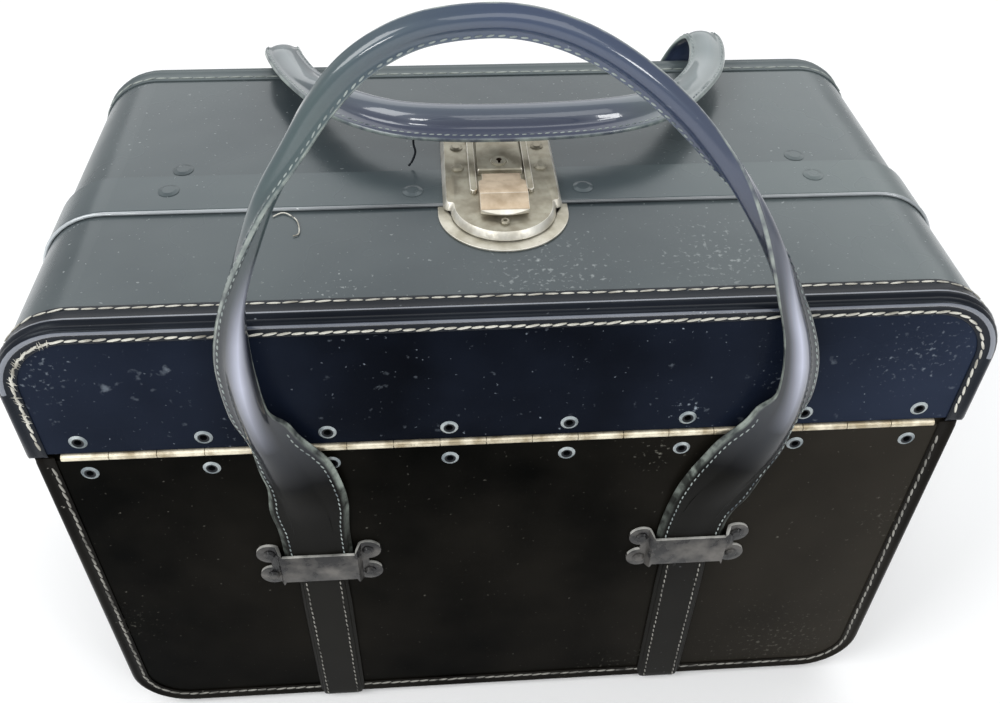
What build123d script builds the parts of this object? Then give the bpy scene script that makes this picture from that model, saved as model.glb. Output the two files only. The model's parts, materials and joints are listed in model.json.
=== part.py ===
from build123d import *

import os
from math import atan2, degrees

# Twin-lid camera case in leather over board. The frame's origin is the middle of the case's
# footprint on the floor: +X to the right, +Y to the back, +Z up. All sizes are in millimetres.

# Overall sizes
case_width = 350.0
case_depth = 180.0
case_height = 240.0
lid_height = 61.5
top_corner = 28.0
bottom_corner = 24.0

# Boards, linings and edges
board = 4.0
band = 3.6
lining = 1.0
lid_overhang = 2.0
edge_width = 3.2
edge_round = 2.4
lid_gap = 0.3
lining_drop = 3.0

# Meeting edge of the two lids, and the lip strip that covers it
seam_y = -19.5
seam_gap = 0.5
lip_front = -26.0
lip_back = -2.0
lip_thick = 1.4
lip_round = 1.1
lip_clear = 0.3

# Piano hinges
knuckle_radius = 1.6
pin_radius = 0.8
pin_clear = 0.08
cove_clear = 0.3
knuckle_count = 19
knuckle_gap = 0.3
hinge_inset = 11.0
lid_leaf_height = 12.5
tub_leaf_height = 14.0

# Ring eyelets that hold the hinge leaves
eyelet_count = 8
eyelet_margin = 18.9
lid_eyelet_rise = 7.6
tub_eyelet_drop = 9.2
eyelet_flange = 3.3
eyelet_crest = 2.5
eyelet_barrel = 1.9
eyelet_bore = 1.35
eyelet_proud = 0.6
hole_clear = 0.1

# Straps and the loops that hold them
strap_spacing = 155.0
strap_width = 28.5
facing_width = 25.5
strap_backing = 1.5
strap_facing = 1.5
strap_bend = 2.0
strap_pivot_height = 127.0
pivot_inset = 0.1
joint_gap = 0.8
loop_height = 108.5
loop_width = 51.0
loop_bar = 16.5
loop_ear = 5.4
loop_ear_rise = 7.0
loop_metal = 1.2
loop_clear = 0.3
loop_side = 0.6
loop_slant = 1.6
loop_rivet_head = 2.5
loop_rivet_shank = 1.3
loop_rivet_proud = 1.2

# Handles
grip_radius = 6.3
flange_reach = 4.2
flange_thick = 2.6
grip_stand = 9.0
grip_half_width = 92.5
grip_top = 345.0
grip_shoulder = 209.0
grip_apex_radius = 46.0
fold_height = 247.0
rear_fold = 83.0

# Lock
lock_x = 1.0
lock_half = 22.6
lock_back = 26.0
lock_front = -51.2
lock_nose = 19.9
lock_corner = 3.0
lock_metal = 0.8
lock_lift = 1.5
lock_rise = 4.6
lock_taper = 24.0
striker_radius = 24.6
striker_metal = 0.8
striker_back = -27.0
keeper_y = -37.0
keeper_bar = 2.0
keeper_metal = 0.7
keeper_half = 4.6
keeper_low = 2.8
slide_back = -16.0
slide_front = -42.0
slide_crest = -33.0
slide_half = 9.0
slide_neck_half = 7.4
slide_neck = -21.0
slide_gap = 0.3
slide_rise = 5.4
slide_neck_rise = 3.6
slide_tail_rise = 3.0
slide_waist = 1.6
slide_bow = 1.4
slide_undercut = 3.8
scoop_in = 4.6
scoop_rise = 3.5
lip_in = 1.3
lip_rise = 3.1
lip_nose = 1.8
lip_low = 1.4
slide_forward = 2.8
slide_rearward = 3.0
tongue_half = 3.0
tongue_metal = 0.8
tongue_low = 1.7
web_length = 5.0
web_y = -27.0
rail_in = 9.4
rail_metal = 2.8
rail_rise = 1.7
rail_end = -25.0
housing_half = 8.7
housing_front = -11.8
housing_rise = 2.6
plug_radius = 3.0
plug_y = -5.9
plug_clear = 0.06
plug_proud = 0.4
keyway_round = 1.1
keyway_slot = 2.6
keyway_width = 1.0
keyway_back = 0.5
keyway_deep = 1.6
lock_rivet_half = 16.3
lock_rivet_rows = (8.8, -6.5)
lock_rivet_head = 2.5
lock_rivet_shank = 1.2
lock_rivet_proud = 0.9
stud_aside = -0.3
stud_ahead = 2.1
stud_head = 1.75
stud_cup = 0.8
stud_bore = 1.0
stud_proud = 1.1
stud_floor = 0.3

# Rivets on the lids
lip_rivet_places = ((126.0, -12.5), (33.0, -17.0))
lid_rivet_place = (123.5, 4.5)
lip_rivet_head = 4.0
lip_rivet_shank = 1.6
lip_rivet_proud = 0.7
striker_rivet_half = 14.0
striker_rivet_row = -36.0
striker_rivet_nose = -46.5
striker_rivet_head = 1.8
striker_rivet_proud = 0.5

# Worked-out sizes
strap_thick = strap_backing + strap_facing
tub_floor = strap_thick
tub_width = case_width - 2 * lid_overhang
hinge_height = case_height - lid_height
front = -case_depth / 2
rim = hinge_height - lid_gap
lid_edge = hinge_height + lid_gap
leaf_metal = knuckle_radius - pin_radius - pin_clear
cove_radius = knuckle_radius + cove_clear
hinge_length = case_width - 2 * hinge_inset
knuckle_pitch = hinge_length / knuckle_count
eyelet_pitch = (case_width - 2 * eyelet_margin) / (eyelet_count - 1)
strap_y = front - strap_thick / 2
grip_y = front - grip_stand
leg_top = fold_height - grip_radius - joint_gap
strap_top = strap_pivot_height - strap_thick / 2 - joint_gap
lock_top = case_height + lock_rise

parts = {}
os.makedirs("parts", exist_ok=True)


def outline(half, low, high, corner, rounded):
    """A rectangle in front or side view, with its top or its bottom corners rounded."""
    sheet = Pos(0, (low + high) / 2) * Rectangle(2 * half, high - low)
    rows = sheet.vertices().group_by(Axis.Y)
    return fillet(rows[-1] if rounded == "top" else rows[0], corner)


def tub_outline(inset):
    """Front view of the tub, drawn in by inset at its sides and floor."""
    return outline(tub_width / 2 - inset, tub_floor + inset, rim, bottom_corner - inset, "bottom")


def lid_outline(inset):
    """Front view of a lid, drawn in by inset at its sides and top."""
    return outline(case_width / 2 - inset, lid_edge, case_height - inset, top_corner - inset, "top")


def stand(sheet, y_low, y_high):
    """Stands a front view up and makes it thick, from y_low to y_high."""
    return extrude(Plane.XZ.offset(-y_high) * sheet, y_high - y_low)


def block(x, y, z):
    """A box between two values on each axis."""
    middle = Pos(sum(x) / 2, sum(y) / 2, sum(z) / 2)
    return middle * Box(x[1] - x[0], y[1] - y[0], z[1] - z[0])


def bar_x(y, z, radius, length):
    """A round bar along X."""
    return Pos(0, y, z) * Rot(0, 90, 0) * Cylinder(radius, length)


def bar_y(x, y, z, radius, length):
    """A round bar along Y."""
    return Pos(x, y, z) * Rot(90, 0, 0) * Cylinder(radius, length)


def bar_z(x, y, z, radius, length):
    """A round bar along Z."""
    return Pos(x, y, z) * Cylinder(radius, length)


def turned(points):
    """A turned piece about Y from (radius, depth) points. Depth runs into the material it sits in."""
    return revolve(make_face(Polyline(*points, close=True)), Axis.Y)


def rivet(head, proud, shank, length):
    """A pan-headed rivet at the origin, its shank along +Y."""
    cap = [(0, -proud), (head * 0.6, -proud), (head, -proud * 0.3), (head, 0)]
    return turned(cap + [(shank, 0), (shank, length), (0, length)])


def downwards(piece):
    """Turns a piece that points along +Y to point along -Z."""
    return Rot(-90, 0, 0) * piece


def to_back(piece):
    """The same piece at the back of the case."""
    return mirror(piece, about=Plane.XZ)


def to_left(piece):
    """The same piece at the left of the case."""
    return mirror(piece, about=Plane.YZ)


def eyelet_places():
    """The X of each eyelet in a row along a hinge."""
    return [(i - (eyelet_count - 1) / 2) * eyelet_pitch for i in range(eyelet_count)]


def loop_places():
    """The X of both strap loops on one face."""
    return (-strap_spacing / 2, strap_spacing / 2)


def loop_rivet_places():
    """The (X, Z) of the rivets of both loops on one face."""
    ear_x = loop_width / 2 - loop_ear
    return [
        (x + side * ear_x, loop_height + rise)
        for x in loop_places()
        for side in (-1, 1)
        for rise in (-loop_ear_rise, loop_ear_rise)
    ]


def outer_edges(piece, half, level, corner, y):
    """The outer edges of a frame on the plane at y: its two sides, its level run and its corners."""
    found = []
    for edge in piece.edges():
        middle = edge.position_at(0.5)
        if any(abs(edge.position_at(share).Y - y) > 0.01 for share in (0, 0.5, 1)):
            continue
        straight = edge.geom_type == GeomType.LINE
        if straight and (abs(abs(middle.X) - half) < 0.01 or abs(middle.Z - level) < 0.01):
            found.append(edge)
        elif not straight and abs(edge.radius - corner) < 0.01:
            found.append(edge)
    return found


def binding(ring, half, level, corner):
    """The edging that frames a front panel, with its outer corner rounded over."""
    frame = stand(ring, front, front + board)
    return fillet(outer_edges(frame, half, level, corner, front), edge_round)


def hinge_cuts(up, row):
    """What the front hinge takes out of a panel: the cove, the leaf's pocket and the eyelet holes."""
    height = lid_leaf_height if up > 0 else tub_leaf_height
    inner = front + knuckle_radius
    z = sorted((hinge_height, hinge_height + up * (height + hole_clear)))
    half = hinge_length / 2 + hole_clear
    cuts = [
        bar_x(front, hinge_height, cove_radius, case_width + board),
        block((-half, half), (inner - leaf_metal - hole_clear, inner + hole_clear), z),
    ]
    for x in eyelet_places():
        cuts.append(bar_y(x, front, row, eyelet_barrel + hole_clear, 4 * board))
    return cuts


# Tub: two flat panels, each framed by an edge binding, and a band that bends round between them

tub_row = hinge_height - tub_eyelet_drop
lid_row = hinge_height + lid_eyelet_rise

tub_panel = stand(tub_outline(edge_width), front, front + board) - hinge_cuts(-1, tub_row)
tub_panel -= [
    bar_y(x, front, z, loop_rivet_shank + hole_clear, 4 * board) for x, z in loop_rivet_places()
]
parts["base_front_panel"] = tub_panel
parts["base_rear_panel"] = to_back(tub_panel)

tub_binding = binding(
    tub_outline(0) - tub_outline(edge_width), tub_width / 2, tub_floor, bottom_corner
)
tub_binding -= bar_x(front, hinge_height, cove_radius, case_width + board)
parts["base_front_binding"] = tub_binding
parts["base_rear_binding"] = to_back(tub_binding)

parts["base_gusset_band"] = stand(tub_outline(0) - tub_outline(band), front + board, -front - board)

tub_lining = stand(tub_outline(band), front + board, -front - board)
tub_lining -= stand(tub_outline(band + lining), front + board + lining, -front - board - lining)
tub_lining -= block(
    (-case_width, case_width), (front, -front), (rim - lining_drop, case_height)
)
parts["base_lining"] = tub_lining

# Lids: each an upright panel, its edge binding, half of the arched band, and a lining


def lid_lining(y_edge):
    """Thin lining behind a front lid's panel and under its band, as far back as its open edge."""
    shell = stand(lid_outline(band), front + board, y_edge)
    hollow = stand(lid_outline(band + lining), front + board + lining, y_edge + lining)
    low = block((-case_width, case_width), (front, -front), (0, lid_edge + lining_drop))
    return shell - hollow - low


lid_panel = stand(lid_outline(edge_width), front, front + board) - hinge_cuts(1, lid_row)
lid_binding = binding(
    lid_outline(0) - lid_outline(edge_width), case_width / 2, case_height, top_corner
)
lid_binding -= bar_x(front, hinge_height, cove_radius, case_width + board)
lid_ring = lid_outline(0) - lid_outline(band)
front_edge = seam_y - seam_gap

parts["front_lid_panel"] = lid_panel
parts["front_lid_binding"] = lid_binding
parts["front_lid_lining"] = lid_lining(front_edge)
parts["rear_lid_panel"] = to_back(lid_panel)
parts["rear_lid_binding"] = to_back(lid_binding)
parts["rear_lid_lining"] = to_back(lid_lining(-seam_y))


def lock_shape(half, nose, y_back):
    """Top view of the lock, centred on X 0: a straight back part, square shoulders and a round nose."""
    nose_y = lock_front + lock_nose
    body = Pos(0, (y_back + nose_y) / 2) * Rectangle(2 * half, y_back - nose_y)
    body = fillet(body.vertices().group_by(Axis.Y)[0], lock_corner)
    return body + Pos(0, nose_y) * Circle(nose)


def screw_places(rows, half):
    """(X, Y) of rivets in pairs either side of the lock's middle."""
    return [(lock_x + side * half, y) for y in rows for side in (-1, 1)]


lock_rivet_xy = screw_places(lock_rivet_rows, lock_rivet_half)
lip_rivet_xy = [(side * x, y) for x, y in lip_rivet_places for side in (-1, 1)]
lid_rivet_xy = [(side * lid_rivet_place[0], lid_rivet_place[1]) for side in (-1, 1)]
striker_rivet_xy = screw_places((striker_rivet_row,), striker_rivet_half)
striker_rivet_xy.append((lock_x, striker_rivet_nose))



def top_holes(places, shank):
    """Clearance holes down through the top of the lids."""
    return [bar_z(x, y, case_height, shank + hole_clear, 4 * band) for x, y in places]


front_band = stand(lid_ring, front + board, front_edge)
parts["front_lid_band"] = front_band - top_holes(striker_rivet_xy, lock_rivet_shank)

rear_band = stand(lid_ring, seam_y, -front - board)
rear_band -= top_holes(lock_rivet_xy, lock_rivet_shank)
rear_band -= top_holes(lip_rivet_xy + lid_rivet_xy, lip_rivet_shank)
parts["rear_lid_band"] = rear_band

# Lip strip on the rear lid: it runs over the top and down both ends, and laps over the front lid

strip_ring = lid_outline(-lip_thick) - lid_outline(0)
strip = stand(strip_ring, lip_front, lip_back)
strip_half = case_width / 2 + lip_thick
strip_top = case_height + lip_thick
strip_edges = outer_edges(strip, strip_half, strip_top, top_corner + lip_thick, lip_front)
strip = fillet(strip_edges, lip_round)
strip -= stand(lid_outline(-lip_clear), lip_front - 1, seam_y)
strip -= top_holes(lock_rivet_xy[2:], lock_rivet_shank)
strip -= top_holes(lip_rivet_xy, lip_rivet_shank)
parts["lip_strip"] = strip

lip_rivet = downwards(rivet(lip_rivet_head, lip_rivet_proud, lip_rivet_shank, lip_thick + band))
parts["lip_rivets"] = Compound([Pos(x, y, strip_top) * lip_rivet for x, y in lip_rivet_xy])
lid_rivet = downwards(rivet(lip_rivet_head, lip_rivet_proud, lip_rivet_shank, band))
parts["rear_lid_rivets"] = Compound([Pos(x, y, case_height) * lid_rivet for x, y in lid_rivet_xy])

# Piano hinges: two leaves let into the panels, with rolled knuckles on one pin at the outer face


def hinge_leaf(up, row, first):
    """One leaf of the front hinge. Its knuckles alternate with the other leaf's, from first on."""
    height = lid_leaf_height if up > 0 else tub_leaf_height
    inner = front + knuckle_radius
    start = cove_radius + lid_gap
    z = sorted((hinge_height + up * start, hinge_height + up * height))
    plate = block((-hinge_length / 2, hinge_length / 2), (inner - leaf_metal, inner), z)
    for i in range(first, knuckle_count, 2):
        x_low = -hinge_length / 2 + i * knuckle_pitch + knuckle_gap / 2
        x_high = x_low + knuckle_pitch - knuckle_gap
        finger_z = sorted((hinge_height, hinge_height + up * start))
        plate += block((x_low, x_high), (inner - leaf_metal, inner), finger_z)
        plate += Pos((x_low + x_high) / 2) * bar_x(front, hinge_height, knuckle_radius, x_high - x_low)
    plate -= bar_x(front, hinge_height, pin_radius + pin_clear, case_width)
    holes = [bar_y(x, front, row, eyelet_barrel + hole_clear, 4 * board) for x in eyelet_places()]
    return plate - holes


def eyelet_row(z):
    """The eyelets of one leaf, through the front panel and flush with its inner face."""
    shape = turned(
        [
            (eyelet_bore, -eyelet_proud * 0.4),
            (eyelet_crest, -eyelet_proud),
            (eyelet_flange, 0),
            (eyelet_barrel, 0),
            (eyelet_barrel, board),
            (eyelet_bore, board),
        ]
    )
    return Compound([Pos(x, front, z) * shape for x in eyelet_places()])


tub_leaf = hinge_leaf(-1, tub_row, 0)
lid_leaf = hinge_leaf(1, lid_row, 1)
pin = bar_x(front, hinge_height, pin_radius, hinge_length)
parts["front_hinge_tub_leaf"] = tub_leaf
parts["front_hinge_lid_leaf"] = lid_leaf
parts["front_hinge_pin"] = pin
parts["front_hinge_tub_eyelets"] = eyelet_row(tub_row)
parts["front_hinge_lid_eyelets"] = eyelet_row(lid_row)
for name in ("tub_leaf", "lid_leaf", "pin", "tub_eyelets", "lid_eyelets"):
    parts["rear_hinge_" + name] = to_back(parts["front_hinge_" + name])

# Straps under the case, of two layers, up to the pivot of the free straps on each face


def strap_run(inner, outer, width):
    """One layer of the strap: a U in side view that wraps the tub, width wide along X."""
    outside = outline(
        case_depth / 2 + outer, strap_thick - outer, strap_top, strap_bend + outer, "bottom"
    )
    inside = outline(
        case_depth / 2 + inner, strap_thick - inner, strap_top, strap_bend + inner, "bottom"
    )
    return extrude(Plane.YZ.offset(-width / 2) * (outside - inside), width)


under_strap = strap_run(0, strap_backing, strap_width) + strap_run(
    strap_backing, strap_thick, facing_width
)
parts["under_strap_left"] = Pos(loop_places()[0], 0, 0) * under_strap
parts["under_strap_right"] = Pos(loop_places()[1], 0, 0) * under_strap

# Strap loops: bent plates with four ears, riveted to the panel either side of the strap

bridge_in = strap_width / 2 + loop_side
bridge_rise = strap_thick + loop_clear
foot_in = bridge_in + loop_slant
half_loop = loop_width / 2
half_inner = [(bridge_in, -bridge_rise), (foot_in, 0), (half_loop, 0)]
half_outer = [
    (half_loop, -loop_metal),
    (foot_in + loop_metal * 0.8, -loop_metal),
    (bridge_in + loop_metal * 0.8, -bridge_rise - loop_metal),
]
loop_section = half_inner + half_outer
loop_section += [(-x, y) for x, y in reversed(half_outer)] + [(-x, y) for x, y in reversed(half_inner)]
ear_x = half_loop - loop_ear
loop_face = Rectangle(2 * ear_x, loop_bar)
for side in (-1, 1):
    for rise in (-loop_ear_rise, loop_ear_rise):
        loop_face += Pos(side * ear_x, rise) * Circle(loop_ear)
loop_full = 2 * (loop_ear_rise + loop_ear) + 2
loop = extrude(
    Plane.XY.offset(-loop_full / 2) * make_face(Polyline(*loop_section, close=True)), loop_full
)
loop &= stand(loop_face, -bridge_rise - 2 * loop_metal, loop_metal)
loop -= [
    bar_y(side * ear_x, 0, rise, loop_rivet_shank + hole_clear, 4 * board)
    for side in (-1, 1)
    for rise in (-loop_ear_rise, loop_ear_rise)
]
for name, x in zip(("left", "right"), loop_places()):
    parts["front_loop_" + name] = Pos(x, front, loop_height) * loop
    parts["rear_loop_" + name] = to_back(parts["front_loop_" + name])

loop_rivet = rivet(loop_rivet_head, loop_rivet_proud, loop_rivet_shank, loop_metal + board)
loop_rivets = Compound(
    [Pos(x, front - loop_metal, z) * loop_rivet for x, z in loop_rivet_places()]
)
parts["front_loop_rivets"] = loop_rivets
parts["rear_loop_rivets"] = to_back(loop_rivets)

# Free straps: flat at the loop, rolled into a tube at the shoulder; the grip folds above them

# Each station: its share of the rise, its share of the way out to the grip, its width and its thickness
strap_stations = (
    (0.0, 0.0, strap_width, strap_thick),
    (0.42, 0.30, strap_width, strap_thick + 0.4),
    (0.78, 0.85, 20.0, 9.0),
    (1.0, 1.0, 2 * grip_radius + 2.4, 2 * grip_radius - 0.4),
)


def free_strap(side, leg):
    """A front strap at side 1 or -1: its rounded pivot end, the strap itself and the leg of the tube."""
    low_x, high_x = side * strap_spacing / 2, side * grip_half_width
    sections = []
    for rise, share, width, thick in strap_stations:
        z = strap_pivot_height + rise * (grip_shoulder - strap_pivot_height)
        x = low_x + share * (high_x - low_x)
        y = strap_y + share * (grip_y - strap_y)
        sections.append(Pos(x, y, z) * SlotOverall(width, thick))
    pivot = bar_x(strap_y, strap_pivot_height, strap_thick / 2 - pivot_inset, strap_width - strap_thick)
    return loft(sections, ruled=True) + [Pos(low_x) * pivot, leg]


def grip_arch():
    """The whole rolled arch of the front handle, from shoulder to shoulder, with its sewn flange."""
    rise = grip_top - grip_shoulder
    square = grip_half_width**2 + rise**2 - 2 * rise * grip_apex_radius
    side_radius = square / (2 * (grip_half_width - grip_apex_radius))
    turn = degrees(atan2(rise - grip_apex_radius, side_radius - grip_half_width))
    right = JernArc((grip_half_width, grip_shoulder), (0, 1), side_radius, turn)
    apex = JernArc(right @ 1, right % 1, grip_apex_radius, 180 - 2 * turn)
    left = JernArc(apex @ 1, apex % 1, side_radius, turn)
    path = Plane.XZ.offset(-grip_y) * (right + apex + left)
    reach = grip_radius + flange_reach
    section = Circle(grip_radius) + Pos(-reach / 2, 0) * Rectangle(reach, flange_thick)
    return sweep(Pos(grip_half_width, grip_y, grip_shoulder) * section, path)


arch = grip_arch()
tall = (fold_height, 2 * grip_top)
wide = (-case_width, case_width)
deep = (2 * front, 0)
grip_zone = block(wide, deep, tall) + bar_x(grip_y, fold_height, grip_radius, case_width)
front_grip = arch & grip_zone
right_strap = free_strap(1, arch & block((0, case_width), deep, (0, leg_top)))
left_strap = free_strap(-1, arch & block((-case_width, 0), deep, (0, leg_top)))
fold_axis = Axis((0, -grip_y, fold_height), (1, 0, 0))
half_turn = Rot(0, 0, 180)

parts["front_handle_grip"] = front_grip
parts["rear_handle_grip"] = (half_turn * front_grip).rotate(fold_axis, rear_fold)
parts["front_strap_right"] = right_strap
parts["front_strap_left"] = left_strap
parts["rear_strap_right"] = half_turn * left_strap
parts["rear_strap_left"] = half_turn * right_strap

# Lock: a hollow plate on the rear lid whose nose laps over the striker plate on the front lid


def lift(sheet, z_low, height, taper=0.0):
    """Raises a plan view, drawn about the lock's middle, from z_low by height."""
    return extrude(Plane.XY.offset(z_low) * Pos(lock_x) * sheet, height, taper=taper)


def lock_block(inset, z_top):
    """The lock plate's form drawn in by inset: an upright foot, then walls that lean in."""
    sheet = lock_shape(lock_half - inset, lock_nose - inset, lock_back - inset)
    foot_top = case_height + lock_lift
    foot = lift(sheet, case_height, lock_lift)
    return foot + lift(sheet, foot_top, z_top - foot_top, lock_taper)


slot_half = tongue_half - tongue_metal + slide_gap
web_span = (web_y - web_length / 2, web_y + web_length / 2)
slot_y = (web_span[0] - slide_forward - slide_gap, web_span[1] + slide_rearward + slide_gap)
plate_under = lock_top - lock_metal
lock_plate = lock_block(0, lock_top) - lock_block(lock_metal, plate_under)
lock_plate -= block(
    (lock_x - 2 * lock_half, lock_x + 2 * lock_half),
    (2 * lock_front, lip_back + hole_clear),
    (case_height - lip_thick, case_height + lock_lift),
)
lock_plate -= block((lock_x - slot_half, lock_x + slot_half), slot_y, (plate_under - 1, lock_top + 1))
lock_plate -= top_holes(lock_rivet_xy, lock_rivet_shank)
stud_place = (lock_x + stud_aside, slide_front - stud_ahead)
lock_plate -= bar_z(*stud_place, lock_top, stud_bore + hole_clear / 2, 4 * lock_metal)
parts["lock_plate"] = lock_plate

lock_rivet = downwards(
    rivet(lock_rivet_head, lock_rivet_proud, lock_rivet_shank, lock_rise + band)
)
parts["lock_rivets"] = Compound([Pos(x, y, lock_top) * lock_rivet for x, y in lock_rivet_xy])

rail_span = (rail_end, lock_back - 2 * lock_metal)
rail = block((rail_in, rail_in + rail_metal), rail_span, (lock_top, lock_top + rail_rise))
rail = chamfer(rail.edges().filter_by(Axis.Z).group_by(Axis.Y)[0], rail_metal / 3)
parts["lock_rails"] = Compound([Pos(lock_x) * rail, Pos(lock_x) * to_left(rail)])

housing_top = lock_top + housing_rise
housing = block(
    (lock_x - housing_half, lock_x + housing_half),
    (housing_front, lock_back - 3 * lock_metal),
    (lock_top, housing_top),
)
housing = fillet(housing.faces().sort_by(Axis.Z)[-1].edges(), housing_rise / 4)
housing -= bar_z(lock_x, plug_y, housing_top, plug_radius + plug_clear, 4 * housing_rise)
parts["keyhole_housing"] = housing

keyway = Circle(keyway_round) + Pos(0, -keyway_slot / 2) * Rectangle(keyway_width, keyway_slot)
plug_low = lock_top + slide_gap
plug_tall = housing_top + plug_proud - plug_low
plug = bar_z(lock_x, plug_y, plug_low + plug_tall / 2, plug_radius, plug_tall)
plug -= lift(Pos(0, plug_y + keyway_back) * keyway, housing_top - keyway_deep, 2 * keyway_deep)
parts["key_plug"] = plug

# Thumb slide: a waisted block with a scooped finger lip, over a tongue that reaches the keeper

slide_low = lock_top + slide_gap
foot_front = slide_front + slide_undercut
crest = (slide_crest, slide_low + slide_rise)
scoop = (slide_front + scoop_in, slide_low + scoop_rise)
lip_top = (slide_front + lip_in, slide_low + lip_rise)
slide_side = make_face(
    ThreePointArc(crest, scoop, lip_top)
    + Polyline(
        lip_top,
        (slide_front, slide_low + lip_nose),
        (slide_front, slide_low + lip_low),
        (foot_front, slide_low + lip_low),
        (foot_front, slide_low),
        (slide_back, slide_low),
        (slide_back, slide_low + slide_tail_rise),
        (slide_neck, slide_low + slide_neck_rise),
        crest,
    )
)
corner_y = slide_front + slide_bow
waist_y = slide_neck - slide_waist
right_side = [
    (slide_half, corner_y),
    (slide_half, waist_y),
    (slide_neck_half, slide_neck),
    (slide_neck_half, slide_back),
]
slide_plan = make_face(
    ThreePointArc((-slide_half, corner_y), (0, slide_front), (slide_half, corner_y))
    + Polyline(*right_side, *[(-x, y) for x, y in reversed(right_side)])
)
slide = lift(slide_plan, slide_low, 3 * housing_rise)
slide &= extrude(Plane.YZ.offset(lock_x - 2 * slide_half) * slide_side, 4 * slide_half)
parts["thumb_slide"] = slide

tongue_tip = keeper_y + keeper_bar / 2 + slide_gap
tongue_z = case_height + tongue_low
web_x = tongue_half - tongue_metal
tongue = block(
    (lock_x - tongue_half, lock_x + tongue_half),
    (tongue_tip, web_span[1]),
    (tongue_z, tongue_z + tongue_metal),
)
tongue += block((lock_x - web_x, lock_x + web_x), web_span, (tongue_z, slide_low))
parts["latch_tongue"] = tongue

stud_rim = [(stud_cup, -stud_proud), (0.8 * stud_head, -stud_proud), (stud_head, -0.6 * stud_proud)]
stud_shank = [(stud_head, 0), (stud_bore, 0), (stud_bore, lock_metal), (0, lock_metal)]
stud = turned(stud_rim + stud_shank + [(0, -stud_floor), (stud_cup, -stud_floor)])
parts["lock_stud"] = Pos(*stud_place, lock_top) * downwards(stud)

# Striker plate on the front lid, with the keeper that the tongue slides under

nose_y = lock_front + lock_nose
striker_sheet = Pos(0, nose_y) * Circle(striker_radius)
striker_sheet -= Pos(0, nose_y + striker_radius) * Rectangle(4 * striker_radius, 2 * striker_radius)
striker_sheet += Pos(0, (nose_y + striker_back) / 2) * Rectangle(
    2 * striker_radius, striker_back - nose_y
)
striker = lift(striker_sheet, case_height, striker_metal)
keeper_top = case_height + keeper_low + keeper_metal
keeper_y_span = (keeper_y - keeper_bar / 2, keeper_y + keeper_bar / 2)
keeper = block((lock_x - keeper_half, lock_x + keeper_half), keeper_y_span, (case_height, keeper_top))
slot = block(
    (lock_x - keeper_half - hole_clear, lock_x + keeper_half + hole_clear),
    (keeper_y_span[0] - hole_clear, keeper_y_span[1] + hole_clear),
    (case_height - 1, case_height + 2 * striker_metal),
)
inner_half = keeper_half - keeper_metal
bridge = block(
    (lock_x - inner_half, lock_x + inner_half),
    (2 * lock_front, 0),
    (case_height - 1, case_height + keeper_low),
)
striker -= slot - bridge
parts["striker_plate"] = striker - top_holes(striker_rivet_xy, lock_rivet_shank)
parts["striker_keeper"] = keeper - bridge
striker_rivet = downwards(
    rivet(striker_rivet_head, striker_rivet_proud, lock_rivet_shank, striker_metal + band)
)
parts["striker_rivets"] = Compound(
    [Pos(x, y, case_height + striker_metal) * striker_rivet for x, y in striker_rivet_xy]
)

for name, shape in parts.items():
    export_step(shape, f"parts/{name}.step")
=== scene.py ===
import json
import math

import bmesh
import bpy
from mathutils import Matrix, Vector


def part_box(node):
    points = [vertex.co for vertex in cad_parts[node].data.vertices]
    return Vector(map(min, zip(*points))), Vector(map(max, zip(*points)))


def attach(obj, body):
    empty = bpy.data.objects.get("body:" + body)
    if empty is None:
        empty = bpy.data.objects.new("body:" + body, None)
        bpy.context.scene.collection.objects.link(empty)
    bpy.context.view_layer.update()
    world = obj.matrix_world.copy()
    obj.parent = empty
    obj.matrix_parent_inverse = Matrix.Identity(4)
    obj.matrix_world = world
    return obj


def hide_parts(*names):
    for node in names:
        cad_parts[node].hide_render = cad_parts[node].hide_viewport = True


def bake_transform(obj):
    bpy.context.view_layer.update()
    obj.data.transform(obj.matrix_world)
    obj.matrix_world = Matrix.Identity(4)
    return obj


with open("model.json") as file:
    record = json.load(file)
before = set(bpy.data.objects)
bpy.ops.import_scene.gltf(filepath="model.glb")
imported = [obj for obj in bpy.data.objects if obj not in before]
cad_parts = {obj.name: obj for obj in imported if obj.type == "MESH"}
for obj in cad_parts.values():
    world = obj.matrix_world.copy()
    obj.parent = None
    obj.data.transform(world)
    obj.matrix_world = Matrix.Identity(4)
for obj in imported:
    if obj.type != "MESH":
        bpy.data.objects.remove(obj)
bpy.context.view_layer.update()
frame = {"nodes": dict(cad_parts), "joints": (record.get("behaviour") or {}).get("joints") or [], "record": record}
nodes = frame["nodes"]
MM = 0.001

# Where the lids, straps, handles and key turn, and the outlines of the panels' edges
pivots = {joint["name"]: joint["pos_m"] for joint in frame["joints"] if "pos_m" in joint}
lid_low, lid_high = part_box("front_lid_binding")
tub_low, tub_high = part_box("base_front_binding")
front = lid_low.y
HINGE = pivots["front_lid_open"][2]
LID_CORNER, TUB_CORNER = 28 * MM, 24 * MM


# Working by hand in Blender: small helpers for selecting, joining and finishing


def clear_selection():
    """Leaves nothing selected, so that an operator only acts on what comes next."""
    if bpy.context.object and bpy.context.object.mode != "OBJECT":
        bpy.ops.object.mode_set(mode="OBJECT")
    bpy.ops.object.select_all(action="DESELECT")


def take(piece):
    """Selects one piece and makes it the active one."""
    clear_selection()
    piece.select_set(True)
    bpy.context.view_layer.objects.active = piece


def apply_modifier(piece, kind, **settings):
    """Adds a modifier with its settings and applies it at once."""
    take(piece)
    modifier = piece.modifiers.new(kind.title(), kind)
    for key, value in settings.items():
        setattr(modifier, key, value)
    bpy.ops.object.modifier_apply(modifier=modifier.name)


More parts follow.
